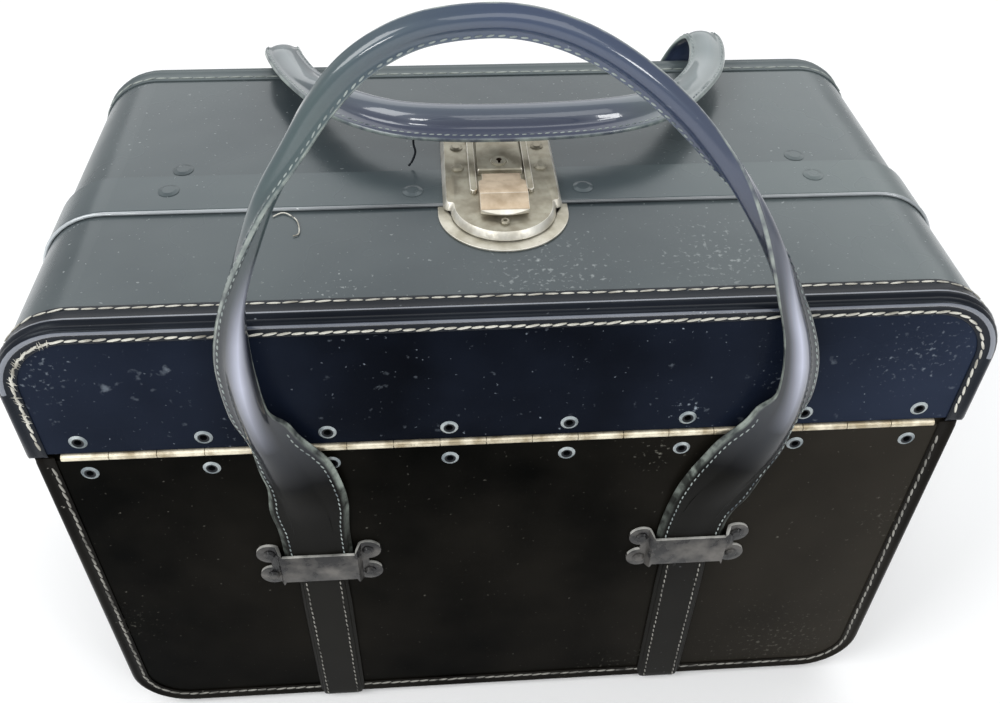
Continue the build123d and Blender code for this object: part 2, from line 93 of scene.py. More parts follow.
def smooth(piece, angle=None):
    """Shades a piece smooth, all over or only where its faces meet under an angle."""
    take(piece)
    if angle is None:
        bpy.ops.object.shade_smooth()
    else:
        bpy.ops.object.shade_smooth_by_angle(angle=math.radians(angle))


def paint(piece, material):
    """Gives a piece one material."""
    piece.data.materials.clear()
    piece.data.materials.append(material)


def copy_of(piece, name):
    """A copy of a piece with its own mesh."""
    twin = bpy.data.objects.new(name, piece.data.copy())
    bpy.context.collection.objects.link(twin)
    return twin


def discard(piece):
    """Removes a piece that was only a tool."""
    bpy.data.objects.remove(piece, do_unlink=True)


def draw_out(name, rings, closed=True):
    """Places a circle's points on the first ring, then extrudes it once for each further ring."""
    count = len(rings[0])
    clear_selection()
    bpy.ops.mesh.primitive_circle_add(vertices=count, radius=MM)
    piece = bpy.context.object
    piece.name = name
    bpy.ops.object.mode_set(mode="EDIT")
    bpy.ops.mesh.select_mode(type="EDGE")
    bpy.ops.mesh.select_all(action="SELECT")
    mesh = bmesh.from_edit_mesh(piece.data)
    mesh.verts.ensure_lookup_table()
    for vert, point in zip(mesh.verts, rings[0]):
        vert.co = point
    order = {i: i for i in range(count)}
    places = dict(order)
    for ring in rings[1:]:
        bpy.ops.mesh.extrude_region_move()
        mesh = bmesh.from_edit_mesh(piece.data)
        mesh.verts.index_update()
        fresh = {}
        for vert in mesh.verts:
            if vert.select:
                others = [edge.other_vert(vert) for edge in vert.link_edges]
                old = next(other for other in others if not other.select)
                fresh[vert.index] = order[old.index]
                vert.co = ring[order[old.index]]
        order = fresh
        places.update(fresh)
    if closed:
        bpy.ops.mesh.select_all(action="DESELECT")
        bpy.ops.mesh.select_non_manifold()
        bpy.ops.mesh.edge_face_add()
    bpy.ops.mesh.select_all(action="SELECT")
    bpy.ops.mesh.normals_make_consistent(inside=False)
    bmesh.update_edit_mesh(piece.data)
    bpy.ops.object.mode_set(mode="OBJECT")
    piece.data.attributes.new("ring_place", "INT", "POINT")
    for index, place in places.items():
        piece.data.attributes["ring_place"].data[index].value = place
    return piece


def smooth_run(points, steps):
    """Points along a smooth curve through rows of numbers, with a number of steps between two rows."""
    run = []
    for i in range(len(points) - 1):
        before = points[max(i - 1, 0)]
        after = points[min(i + 2, len(points) - 1)]
        for k in range(steps):
            t = k / steps
            row = []
            for a, b, c, d in zip(before, points[i], points[i + 1], after):
                bend = 2 * a - 5 * b + 4 * c - d
                row.append(b + 0.5 * t * ((c - a) + t * (bend + t * (3 * b - 3 * c + d - a))))
            run.append(row)
    run.append(list(points[-1]))
    return run


# Camera, at the photograph's angle, as worked out from the case's straight edges, and plain soft light

camera_data = bpy.data.cameras.new("camera")
camera_data.lens = 35.553
camera_data.sensor_width = 36.0
camera_data.clip_start = 0.01
camera = bpy.data.objects.new("camera", camera_data)
bpy.context.collection.objects.link(camera)
camera.matrix_world = Matrix(
    (
        (0.997446, 0.035876, -0.061768, -0.025149),
        (-0.069809, 0.672780, -0.736542, -0.340765),
        (0.015132, 0.738972, 0.673566, 0.452374),
        (0, 0, 0, 1),
    )
)
bpy.context.scene.camera = camera
bpy.context.scene.view_settings.view_transform = "Standard"


def lamp(name, place, aim, size, power):
    """A soft rectangular lamp at a place, facing a point."""
    data = bpy.data.lights.new(name, "AREA")
    data.shape = "RECTANGLE"
    data.size, data.size_y = size
    data.energy = power
    light = bpy.data.objects.new(name, data)
    bpy.context.collection.objects.link(light)
    light.location = place
    light.rotation_euler = (Vector(aim) - Vector(place)).to_track_quat("-Z", "Y").to_euler()


lamp("back_softbox", (0.3, 1.25, 1.35), (0, 0, 0.2), (3.4, 1.6), 18)
lamp("left_softbox", (-1.1, -0.5, 1.2), (0, 0, 0.15), (0.8, 0.8), 10)
lamp("front_softbox", (0.45, -1.2, 1.5), (0, 0, 0.15), (1.6, 1.0), 8.5)
lamp("left_window", (-0.7, -1.22, 0.77), (0, 0, 0.25), (0.3, 0.2), 2.5)
lamp("right_window", (0.94, -1.05, 0.65), (0, 0, 0.25), (0.3, 0.2), 2.5)


# Node materials


def linear(text):
    """An sRGB hex colour as linear red, green, blue and alpha."""
    channels = [int(text[i : i + 2], 16) / 255 for i in (1, 3, 5)]
    return [c / 12.92 if c <= 0.04045 else ((c + 0.055) / 1.055) ** 2.4 for c in channels] + [1.0]


def add(tree, kind, inputs=(), **settings):
    """Adds a shader node with its settings. An input is a socket with a value or a node's output."""
    made = tree.nodes.new(kind)
    for key, value in settings.items():
        setattr(made, key, value)
    for socket, value in inputs:
        if isinstance(value, bpy.types.NodeSocket):
            tree.links.new(value, made.inputs[socket])
        else:
            made.inputs[socket].default_value = value
    return made


def millimetres(tree):
    """Object coordinates in millimetres."""
    inputs = [("Vector", add(tree, "ShaderNodeTexCoord").outputs["Object"]), ("Scale", (1 / MM,) * 3)]
    return add(tree, "ShaderNodeMapping", inputs).outputs["Vector"]


def begin(name):
    """A new material's node tree, its shader and its Object coordinates in millimetres."""
    material = bpy.data.materials.new(name)
    material.use_nodes = True
    tree = material.node_tree
    return material, tree, tree.nodes["Principled BSDF"], millimetres(tree)


def mix(tree, factor, low, high):
    """Mixes two colours by a factor."""
    made = add(tree, "ShaderNodeMix", [("Factor", factor)], data_type="RGBA")
    for socket, value in ((6, low), (7, high)):
        if isinstance(value, str):
            value = linear(value)
        if isinstance(value, bpy.types.NodeSocket):
            tree.links.new(value, made.inputs[socket])
        else:
            made.inputs[socket].default_value = value
    return made.outputs[2]


def spread(tree, value, low, high, to_low=0.0, to_high=1.0):
    """Maps a range of values onto another range, held at both ends."""
    limits = (("From Min", low), ("From Max", high), ("To Min", to_low), ("To Max", to_high))
    return add(tree, "ShaderNodeMapRange", [("Value", value), *limits]).outputs["Result"]


def noise(tree, place, size, detail):
    """Noise in blobs of about a size in millimetres."""
    inputs = [("Vector", place), ("Scale", 1 / size), ("Detail", detail)]
    return add(tree, "ShaderNodeTexNoise", inputs).outputs["Fac"]


def maths(tree, operation, *values):
    """One step of arithmetic on values or on other nodes' outputs."""
    return add(tree, "ShaderNodeMath", list(enumerate(values)), operation=operation).outputs["Value"]


def bump(tree, height, strength, distance, under=None):
    """A bump from a height, over another bump when one is given."""
    inputs = [("Height", height), ("Strength", strength), ("Distance", distance * MM)]
    if under:
        inputs.append(("Normal", under))
    return add(tree, "ShaderNodeBump", inputs).outputs["Normal"]


def leather(name, hide, faded_and_sheen_colour, scuff, roughness, gloss, worn=0.6, coat=0.0, rubs=(), end_reflections=(0, 0)):
    """Smooth calf with a glossy finish coat. It gives soft broad reflections over a scuffed colour.

    Colours are of the hide, its paler patches, which also carry the painted reflection towards the
    case's left and right end, and its scuffs. Gloss is the specular level, and worn is how clear the
    flecks are. Rubs are places, how far they reach, how strong they are and the size of their marks.
    End reflections are how far the hide pales towards its left and right end: a painted reflection of the room.
    """
    material, tree, shader, place = begin(name)
    # Fading in soft patches 60 mm across, as handling leaves it
    patches = noise(tree, place, 60, 3)
    across = add(tree, "ShaderNodeSeparateXYZ", [("Vector", place)]).outputs["X"]
    fade_and_sheen = spread(tree, patches, 0.35, 0.75, 0, 0.35)
    # The hide is painted paler towards the case's left and right end: a painted reflection of the room
    for side, amount in zip((-1, 1), end_reflections):
        edge = side * lid_high.x / MM
        fade_and_sheen = maths(tree, "ADD", fade_and_sheen, spread(tree, across, 0.2 * edge, edge, 0, amount))
    colour = mix(tree, spread(tree, fade_and_sheen, 0, 1), hide, faded_and_sheen_colour)
    # Pale flecks about 2 mm long, rare and in groups, and close together where it was rubbed
    fleck = noise(tree, place, 2.0, 3)
    groups = spread(tree, noise(tree, place, 35, 1), 0.5, 0.62, 0, worn)
    marks = maths(tree, "MULTIPLY", spread(tree, fleck, 0.70, 0.76), groups)
    for spot, radius, strength, size in rubs:
        smear = noise(tree, place, size, 3)
        reach = add(tree, "ShaderNodeVectorMath", [(0, place), (1, spot)], operation="DISTANCE")
        near = spread(tree, reach.outputs["Value"], radius, 0)
        limit = maths(tree, "MULTIPLY_ADD", near, 0.13, smear)
        marks = maths(tree, "MAXIMUM", marks, spread(tree, limit, 0.68, 0.82, 0, strength))
    colour = mix(tree, marks, colour, scuff)
    tree.links.new(colour, shader.inputs["Base Color"])
    dull = spread(tree, patches, 0.3, 0.7, roughness, roughness * 1.4)
    tree.links.new(maths(tree, "MULTIPLY_ADD", marks, 0.35, dull), shader.inputs["Roughness"])
    shader.inputs["Specular IOR Level"].default_value = gloss
    shader.inputs["Specular Tint"].default_value = linear("#e6f0f2")
    shader.inputs["Coat Weight"].default_value = coat
    shader.inputs["Coat IOR"].default_value = 1.9
    shader.inputs["Coat Roughness"].default_value = 0.07
    # Pores 1.1 mm across, coarser than in real calf so that they show, and waves 28 mm across
    pores = bump(tree, noise(tree, place, 1.1, 2), 0.2, 0.08)
    waves = bump(tree, noise(tree, place, 28, 1), 0.5, 0.8, pores)
    tree.links.new(waves, shader.inputs["Normal"])
    tree.links.new(waves, shader.inputs["Coat Normal"])
    return material


def patent(name, hide, tints_and_reflections, rub_and_highlight, rim, back):
    """Coated calf of a handle. It gives crisp highlights, a painted highlight down the front of its legs, and pale
    cut edges.

    Tints are an axis, where the tint starts and where it is full, in millimetres, and its colour. They paint the
    room's reflection: lighter at the top and sides, darker down the legs.
    Rim is the colour of the cut edges, partly worn and partly a painted highlight, and back is the painted shade
    on the flat back.
    """
    # The heights in millimetres between which each change runs
    finish_rise, pale_edge_rise = (165, 210), (138, 162)
    highlight_rise, highlight_fall, back_fall = (188, 222), (276, 240), (285, 258)
    material = leather(name, hide, hide, "#a6adb4", 0.32, 0.2, 0.4)
    tree = material.node_tree
    shader = tree.nodes["Principled BSDF"]
    place = millimetres(tree)
    axes = add(tree, "ShaderNodeSeparateXYZ", [("Vector", place)]).outputs
    colour = shader.inputs["Base Color"].links[0].from_socket
    # Painted reflection: each tint lightens the top and sides or darkens the legs
    for axis, start, full, tint in tints_and_reflections:
        colour = mix(tree, spread(tree, axes[axis], start, full), colour, tint)
    # The finish is whole above the hinge and dull below it, where the strap lies flat
    finish = spread(tree, axes["Z"], *finish_rise)
    tree.links.new(maths(tree, "MULTIPLY", finish, 0.9), shader.inputs["Coat Weight"])
    tree.links.new(maths(tree, "MULTIPLY_ADD", finish, 0.5, 0.06), shader.inputs["Specular IOR Level"])
    shader.inputs["Coat IOR"].default_value = 1.6
    shader.inputs["Coat Roughness"].default_value = 0.05
    # Painted highlight down the front of the legs, fading in and out between the heights above
    crest = add(tree, "ShaderNodeAttribute", attribute_name="crest").outputs["Fac"]
    limits = [spread(tree, axes["Z"], *limit) for limit in (highlight_rise, highlight_fall)]
    legs = maths(tree, "MULTIPLY", *limits)
    colour = mix(tree, maths(tree, "MULTIPLY", maths(tree, "POWER", crest, 1.4), legs), colour, rub_and_highlight)
    # The cut edges are paler: partly worn, partly a painted highlight, and weaker low on the straps
    cut = add(tree, "ShaderNodeAttribute", attribute_name="cut_edge").outputs["Fac"]
    bare = maths(tree, "MULTIPLY", cut, spread(tree, noise(tree, place, 6, 3), 0.35, 0.65, 0.1, 0.9))
    bare = maths(tree, "MULTIPLY", bare, spread(tree, axes["Z"], *pale_edge_rise, 0.25, 1.0))
    # Painted shade: the flat back is darkened up to the arch
    under = add(tree, "ShaderNodeAttribute", attribute_name="underside").outputs["Fac"]
    under = maths(tree, "MULTIPLY", under, spread(tree, axes["Z"], *back_fall))
    colour = mix(tree, under, colour, back)
    tree.links.new(mix(tree, bare, colour, rim), shader.inputs["Base Color"])
    return material


def metal(name, bright, dull, spots, roughness, plate=1.0, grain=1.5, spotted=0.6):
    """Plated sheet metal dulled by age. It gives blurred reflections with dull clouds and spots.

    Colours are of where it is rubbed bright, of where it is dull, and of its spots.
    """
    material, tree, shader, place = begin(name)
    cloud = noise(tree, place, 7, 4)
    colour = mix(tree, spread(tree, cloud, 0.38, 0.62), dull, bright)
    pits = noise(tree, place, grain, 3)
    colour = mix(tree, spread(tree, pits, 0.66, 0.76, 0, spotted), colour, spots)
    tree.links.new(colour, shader.inputs["Base Color"])
    tree.links.new(maths(tree, "MULTIPLY_ADD", cloud, 0.25, roughness), shader.inputs["Roughness"])
    shader.inputs["Metallic"].default_value = plate
    tree.links.new(bump(tree, pits, 0.15, 0.1), shader.inputs["Normal"])
    return material


# The eyelets' even pitch along a hinge, the heights of their two rows, and their bore, in millimetres
EYELET_PITCH, EYELET_ROWS, BORE_RADIUS, RIM_RADIUS = 44.571, (186.1, 169.3), 2.0, 2.4


def eyelet(name, bright, dull, dark):
    """Dull nickel ring eyelets. They give a pale rolled rim round a bore painted dark as shade."""
    material = metal(name, bright, dull, dark, 0.4, 0.6)
    tree = material.node_tree
    shader = tree.nodes["Principled BSDF"]
    axes = add(tree, "ShaderNodeSeparateXYZ", [("Vector", millimetres(tree))]).outputs
    step = maths(tree, "FRACT", maths(tree, "DIVIDE", axes["X"], EYELET_PITCH))
    aside = maths(tree, "MULTIPLY_ADD", step, EYELET_PITCH, -0.5 * EYELET_PITCH)
    rows = [maths(tree, "ABSOLUTE", maths(tree, "SUBTRACT", axes["Z"], row)) for row in EYELET_ROWS]
    up = maths(tree, "MINIMUM", *rows)
    squares = [maths(tree, "POWER", part, 2) for part in (aside, up)]
    reach = maths(tree, "SQRT", maths(tree, "ADD", *squares))
    colour = shader.inputs["Base Color"].links[0].from_socket
    # Inside the bore the colour goes dark: painted shade in the hole
    ring = spread(tree, reach, BORE_RADIUS, RIM_RADIUS)
    tree.links.new(mix(tree, ring, dark, colour), shader.inputs["Base Color"])
    return material


def enamel(name, coat, bare, roughness, chipped):
    """Baked enamel on steel, worn to grey metal in small patches. It gives a soft, uneven gloss."""
    material, tree, shader, place = begin(name)
    worn = noise(tree, place, 9, 4)
    chips = spread(tree, worn, chipped, chipped + 0.3)
    tree.links.new(mix(tree, chips, coat, bare), shader.inputs["Base Color"])
    tree.links.new(maths(tree, "MULTIPLY_ADD", chips, 0.2, roughness), shader.inputs["Roughness"])
    shader.inputs["Specular IOR Level"].default_value = 0.35
    tree.links.new(bump(tree, noise(tree, place, 2, 3), 0.25, 0.15), shader.inputs["Normal"])
    return material


def thread(name, clean, grimy):
    """Waxed linen thread, twisted from three yarns. It gives dull pale ridges, greyed by grime."""
    material, tree, shader, place = begin(name)
    colour = mix(tree, spread(tree, noise(tree, place, 9, 3), 0.3, 0.55), grimy, clean)
    tree.links.new(colour, shader.inputs["Base Color"])
    shader.inputs["Roughness"].default_value = 0.75
    # Yarn twist, a ridge every 0.6 mm
    tree.links.new(bump(tree, noise(tree, place, 0.6, 1), 0.6, 0.2), shader.inputs["Normal"])
    return material


def cotton(name, light, dark):
    """Woven cotton lining cloth with 1 mm threads each way. It gives a dull, even surface."""
    material, tree, shader, place = begin(name)
    weave = [("Vector", place), ("Scale", 0.16), ("Distortion", 0.4)]
    yarns = [add(tree, "ShaderNodeTexWave", weave, bands_direction=way) for way in ("X", "Z")]
    cross = mix(tree, 0.5, yarns[0].outputs["Color"], yarns[1].outputs["Color"])
    tree.links.new(mix(tree, cross, dark, light), shader.inputs["Base Color"])
    shader.inputs["Roughness"].default_value = 0.9
    tree.links.new(bump(tree, cross, 0.4, 0.3), shader.inputs["Normal"])
    return material


# Rubbed places: where, how far they reach, how strong, and the size of their marks, in millimetres
lid_rubs = (((15, -72, 240), 42, 0.4, 2), ((-58, -82, 240), 20, 0.8, 2), ((80, -62, 240), 40, 0.4, 2))
panel_rubs = (
    ((-128, -90, 214), 22, 0.3, 6), ((-118, -90, 204), 14, 0.3, 6), ((-160, -90, 222), 18, 0.5, 2),
    ((-163, -90, 205), 14, 0.4, 5), ((100, -90, 205), 16, 0.5, 2), ((-96, -90, 190), 14, 0.5, 2),
    ((66, -90, 190), 12, 0.8, 2), ((150, -90, 215), 30, 0.35, 2),
)
body_rubs = (
    ((58, -90, 168), 14, 0.8, 2), ((135, -90, 25), 60, 0.35, 2), ((165, -90, 120), 26, 0.4, 2),
    ((-165, -90, 70), 20, 0.5, 2), ((60, -90, 2), 40, 0.4, 2),
)

# The lids' glossy calf mirrors the pale room; its grey colour, paler towards the right end, is that reflection
# painted on. The lip strip is the same hide, with the same painted reflection.
lid_leather = leather(
    "calf_lid_top_painted_reflection", "#333b3f", "#5a6263", "#c3c9c8", 0.22, 0.55, 0.6,
    rubs=lid_rubs, end_reflections=(0.35, 1.0),
)
lip_leather = leather(
    "calf_lip_strip_painted_reflection", "#3b4448", "#5f6868", "#c3c9c8", 0.22, 0.6, 0.5, end_reflections=(0.2, 1.0)
)
# Almost black calf with a touch of navy on the lids' panels, and an older brown-black one on the tub; both are
# painted paler towards the right end, the panels also towards the left, as a painted reflection
panel_leather = leather(
    "glossy_calf_navy_panel", "#02040b", "#242c3d", "#99a3ae", 0.25, 0.03, 0.9,
    rubs=panel_rubs, end_reflections=(0.5, 0.85),
)
body_leather = leather(
    "aged_calf_brown_black", "#020201", "#2e2b26", "#6c6a62", 0.33, 0.015, 0.4,
    rubs=body_rubs, end_reflections=(0, 0.85),
)
# Edge bindings: black at the front, brown-black on the tub, greyer at the rear as a painted reflection, and pale
# on the front beads' tops, partly worn and partly a painted highlight
edge_leather = leather("calf_edge_binding_black", "#11141b", "#2c313a", "#8a8f94", 0.22, 0.15, 0.9)
tub_edge_leather = leather(
    "aged_calf_edge_binding_brown", "#100e0c", "#34302a", "#8a8780", 0.26, 0.06, 0.9
)
rubbed_and_highlit_bead_leather = leather(
    "calf_edge_rubbed_grey_and_highlight", "#444957", "#a4aab3", "#d2d6d8", 0.22, 0.5, 0.9, coat=0.8
)
# The piping is painted pale as a highlight, most of all at its left end
piping_leather = leather(
    "calf_lip_piping_painted_highlight", "#22272c", "#b9bfc2", "#e2e6e8", 0.2, 0.6, 0.9, coat=0.8, end_reflections=(1.0, 0.5)
)
# The rear binding's grey is a painted reflection, as on the lid tops
rear_edge_leather = leather(
    "calf_edge_binding_rear_painted_reflection", "#4b5456", "#6a7272", "#a9afad", 0.3, 0.4, 0.5
)
# Strap leather is flat and nearly matt. The handles are blue; their grey-green at the top and sides and their
# darkening down the legs are painted reflections of the room
strap_leather = leather("strap_calf_black", "#151412", "#24231f", "#6c6e70", 0.28, 0.05)
front_tints_and_reflections = (
    ("X", -5, -55, "#3a4a4c"), ("X", 20, 75, "#262f49"),
    ("Z", 300, 245, "#0b0f1a"), ("Z", 190, 160, "#100f0d"),
)
rear_tints_and_reflections = (("X", 45, 80, "#5c6868"), ("X", -50, -80, "#454f53"), ("Z", 238, 222, "#12161a"))
front_handle_leather = patent(
    "patent_calf_front_handle", "#2d3b57", front_tints_and_reflections, "#b4b7c9", "#98a199", "#191e2b"
)
rear_handle_leather = patent(
    "patent_calf_rear_handle", "#2e344b", rear_tints_and_reflections, "#6f7b7e", "#8f9a94", "#2f3950"
)
# Threads: ivory round the front lid, greyed on the tub and straps, faded round the rear lid
cream_thread = thread("waxed_linen_thread_ivory", "#d3d1c6", "#7f7b70")
grey_thread = thread("waxed_linen_thread_greyed", "#8f8d86", "#33322f")
handle_thread = thread("waxed_linen_thread_handle", "#98a19e", "#3f4a52")
faint_thread = thread("waxed_linen_thread_faded", "#a3aaa4", "#6d7672")
# Nickel plate: yellowish and cloudy on the lock, bright on worn edges and on faces that carry a painted highlight,
# warm where brass shows
lock_nickel = metal("worn_nickel_plate_lock", "#aaa696", "#8a8474", "#5f584b", 0.33, 0.7, 1.2, 0.4)
bright_nickel = metal("rubbed_nickel_edge_and_highlight", "#f3f0e6", "#d8d3c5", "#8f887a", 0.28, 0.7, 1.2, 0.2)
slide_nickel = metal("worn_nickel_brass_slide", "#d6c4ab", "#b9a58b", "#8d7760", 0.33, 0.7, 1.2, 0.3)
hinge_nickel = metal("aged_nickel_hinge", "#eae2cc", "#a6997f", "#5a4c38", 0.28, 0.8, grain=3.0)
eyelet_nickel = eyelet("dull_nickel_eyelet", "#b3babb", "#7b8488", "#15181d")
skirt_nickel = metal("worn_nickel_striker", "#d2cec0", "#aba695", "#7d7666", 0.33, 0.7, 1.2, 0.3)
keyhole_dark = metal("keyhole_shadow_brass", "#3a2e22", "#241c15", "#120e0a", 0.5, 0.6)
# Black enamel of the loops and rivet heads, worn through to steel on the loops' edges; the loops' upward faces get
# pale steel too, partly wear and partly a painted highlight
black_enamel = enamel("black_enamel_strap_loop", "#1b1b1c", "#625f5b", 0.25, 0.42)
bare_steel_and_highlight = enamel("bare_steel_loop_edge_and_highlight", "#6f6f6c", "#c6c5bf", 0.35, 0.3)
dark_rivet = enamel("black_enamel_rivet_head", "#2c3238", "#8b8d8a", 0.3, 0.45)
lining = cotton("cotton_lining_brown", "#4a4038", "#352d27")

node_paint = {
    "body_leather": body_leather, "edge_leather": edge_leather, "lid_leather": lid_leather,
    "strap_leather": strap_leather, "handle_leather": front_handle_leather, "lining_cloth": lining,
    "hinge_nickel": hinge_nickel, "eyelet_nickel": eyelet_nickel, "black_enamel": black_enamel,
    "dark_rivet": dark_rivet, "lock_nickel": lock_nickel,
}
slot_of = {entry["node"]: entry["material_slot"] for entry in frame["record"]["subparts"]}
for name, part in nodes.items():
    paint(part, node_paint[slot_of[name]])
for name in ("front_lid_panel", "rear_lid_panel"):
    paint(nodes[name], panel_leather)
paint(nodes["thumb_slide"], slide_nickel)
paint(nodes["lip_strip"], lip_leather)


# Sewing: one stitch, copied along each row


def one_stitch(name, length, width):
    """A single stitch: a short rounded bead of thread lying along X, pulled down at both ends."""
    clear_selection()
    lying = (0, math.pi / 2, 0)
    bpy.ops.mesh.primitive_uv_sphere_add(segments=6, ring_count=5, radius=0.5, rotation=lying)
    stitch = bpy.context.object
    stitch.name = name
    bpy.ops.object.transform_apply(rotation=True)
    bpy.ops.object.mode_set(mode="EDIT")
    bpy.ops.mesh.select_all(action="SELECT")
    bpy.ops.transform.resize(value=(length, width, width * 0.8))
    bpy.ops.object.mode_set(mode="OBJECT")
    smooth(stitch)
    return stitch


def sew(name, places, length, width, material, slant=6.0, ragged=8.0):
    """Copies one stitch to each place: a point, the row's direction and the surface's normal there.

    Stitches slant by some degrees, and ragged is the range of degrees over which they differ.
    """
    stitch = one_stitch(name + "_one", length, width)
    row = bmesh.new()
    for i, (point, along, normal) in enumerate(places):
        uneven = (math.sin(12.99 * i + 1) * 43758.5) % 1 - 0.5
        aside = (math.sin(78.23 * i + 2) * 43758.5) % 1 - 0.5
        turned = Matrix.Rotation(math.radians(slant + ragged * uneven), 3, normal) @ along.normalized()
        side = normal.cross(turned).normalized()
        axes = Matrix((turned * (1 + 0.2 * uneven), side, normal)).transposed()
        start = len(row.verts)
        row.from_mesh(stitch.data)
        row.verts.ensure_lookup_table()
        for vert in row.verts[start:]:
            vert.co = point + side * (width * 0.3 * aside) + axes @ vert.co
    mesh = bpy.data.meshes.new(name)
    row.to_mesh(mesh)
    row.free()
    piece = bpy.data.objects.new(name, mesh)
    bpy.context.collection.objects.link(piece)
    discard(stitch)
    smooth(piece)
    paint(piece, material)
    return piece


def spaced(line, pitch):
    """Places at an even pitch along a line of (point, normal) pairs."""
    places = []
    due = pitch / 2
    for (a, na), (b, nb) in zip(line, line[1:]):
        run = (b - a).length
        while due <= run:
            share = due / run
            places.append((a.lerp(b, share), b - a, na.lerp(nb, share).normalized()))
            due += pitch
        due -= run
    return places


# Edge bindings: a folded leather strip with two beads, run round each panel's outline

# A strip's ends are cut back over their last 2 mm to 0.2 mm proud of the panel, where the lid turns
# on its hinge. Minus is outward, as in the strip's section.
END_CUT, END_PROUD = 2 * MM, -0.2
CORNER_STEPS = 12
# The stitch rows: in from the outline and proud of the face, proud of the band and back from the face
FACE_ROW, BAND_ROW = (4.9 * MM, 0.8 * MM), (0.8 * MM, 8.7 * MM)
# No stitch on the face comes so near the hinge that the opened lid would press on it
HINGE_GAP = 5.4 * MM
# The beads are painted pale grey above this height, partly as wear and partly as a painted highlight, and the
# thread is frayed left of and above this place
PALE_BEADS_ABOVE = 0.21
FRAYED_LEFT, FRAYED_ABOVE = -0.15, 0.19


def rim_path(half, foot, level, corner):
    """X, Z and outward direction along a panel's edge: up one side, over both corners and down."""
    toward = 1 if level > foot else -1
    turn = level - toward * corner
    levels = (foot, foot + toward * END_CUT, (foot + turn) / 2)
    path = [(-half, height, -1.0, 0.0) for height in levels]
    for side in (-1, 1):
        for k in range(CORNER_STEPS + 1):
            angle = math.radians(90 * (CORNER_STEPS - k if side > 0 else k) / CORNER_STEPS)
            out_x, out_z = side * math.cos(angle), toward * math.sin(angle)
            path.append((side * (half - corner) + corner * out_x, turn + corner * out_z, out_x, out_z))
        if side < 0:
            path.append((0.0, level, 0.0, float(toward)))
    return path + [(half, height, 1.0, 0.0) for height in reversed(levels)]


# The strip's section in millimetres: how far in from the outline, and how far back from the face
strip_section = (
    (6.3, 0.2), (6.5, -0.45), (6.1, -0.75), (5.0, -0.7), (3.8, -0.75), (2.9, -0.7), (2.3, -1.1),
    (1.5, -1.55), (0.6, -1.35), (-0.3, -0.7), (-0.65, 0.2), (-0.35, 1.1), (-0.85, 1.9), (-1.25, 3.0),
    (-1.0, 4.1), (-0.6, 5.0), (-0.75, 7.0), (-0.65, 8.7), (-0.75, 10.0), (-0.45, 10.6), (0.3, 10.4),
    (1.2, 6.5), (3.4, 3.6), (4.0, 1.4),
)
# Places in the section on top of its two beads, where the finish is worn away and a highlight is painted
bead_places = {6, 7, 8, 13, 14}


def edge_strip(name, path, side, material):
    """Runs the strip's section along a path. Side is -1 at the front of the case and 1 at the back."""
    rings = []
    for i, (x, z, out_x, out_z) in enumerate(path):
        proud = END_PROUD if i in (0, len(path) - 1) else -math.inf
        rings.append([
            Vector((x - out_x * p * MM, side * (-front - max(q, proud) * MM), z - out_z * p * MM))
            for p, q in strip_section
        ])
    piece = draw_out(name, rings)
    smooth(piece, 50)
    paint(piece, material)
    piece.data.materials.append(rubbed_and_highlit_bead_leather)
    place_of = piece.data.attributes["ring_place"].data
    # The front beads' tops high up get the pale leather: partly wear, partly a painted highlight
    for face in piece.data.polygons:
        on_bead = all(place_of[v].value in bead_places for v in face.vertices)
        if on_bead and side < 0 and face.center.z > PALE_BEADS_ABOVE:
            face.material_index = 1
    return piece


def edge_rows(name, path, side, body, material):
    """The two rows of stitches through a strip, one on the face and one on the band behind it."""
    face, band = [], []
    for x, z, out_x, out_z in path:
        out = Vector((out_x, 0, out_z))
        edge = Vector((x, side * -front, z))
        ahead = Vector((0, side, 0))
        face.append((edge - out * FACE_ROW[0] + ahead * FACE_ROW[1], ahead))
        band.append((edge + out * BAND_ROW[0] - ahead * BAND_ROW[1], out))
    places = [place for place in spaced(face, 4.6 * MM) if abs(place[0].z - HINGE) > HINGE_GAP]
    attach(sew(f"{name}_face_stitches", places, 5.0 * MM, 1.1 * MM, material, slant=9.0), body)
    places = spaced(band, 5.5 * MM)
    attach(sew(f"{name}_band_stitches", places, 5.3 * MM, 0.85 * MM, material, slant=3.0), body)
    return face


lid_path = rim_path(lid_high.x, lid_low.z, lid_high.z, LID_CORNER)
tub_path = rim_path(tub_high.x, tub_high.z, tub_low.z, TUB_CORNER)
for where, side, lid_edge, lid_thread in (
    ("front", -1, edge_leather, cream_thread), ("rear", 1, rear_edge_leather, faint_thread)
):
    lid_strip = edge_strip(f"{where}_lid_edge_strip", lid_path, side, lid_edge)
    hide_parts(f"{where}_lid_binding")
    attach(lid_strip, f"{where}_lid")
    lid_row = edge_rows(f"{where}_lid", lid_path, side, f"{where}_lid", lid_thread)
    if side < 0:
        # The thread is frayed round the left corner of the front lid
        worn_run = [(p, n) for p, n in lid_row if p.x < FRAYED_LEFT and p.z > FRAYED_ABOVE]
        worn_places = spaced(worn_run, 1.1 * MM)
        for name, length, width in (("short", 2.2 * MM, 0.5 * MM), ("long", 3.6 * MM, 0.25 * MM)):
            name = f"frayed_thread_{name}"
            fray = sew(name, worn_places, length, width, cream_thread, slant=20, ragged=130)
            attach(fray, "front_lid")
    tub_strip = edge_strip(f"{where}_tub_edge_strip", tub_path, side, tub_edge_leather)
    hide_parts(f"base_{where}_binding")
    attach(tub_strip, "base")
    edge_rows(f"{where}_tub", tub_path, side, "base", grey_thread)


# Straps and rolled handles

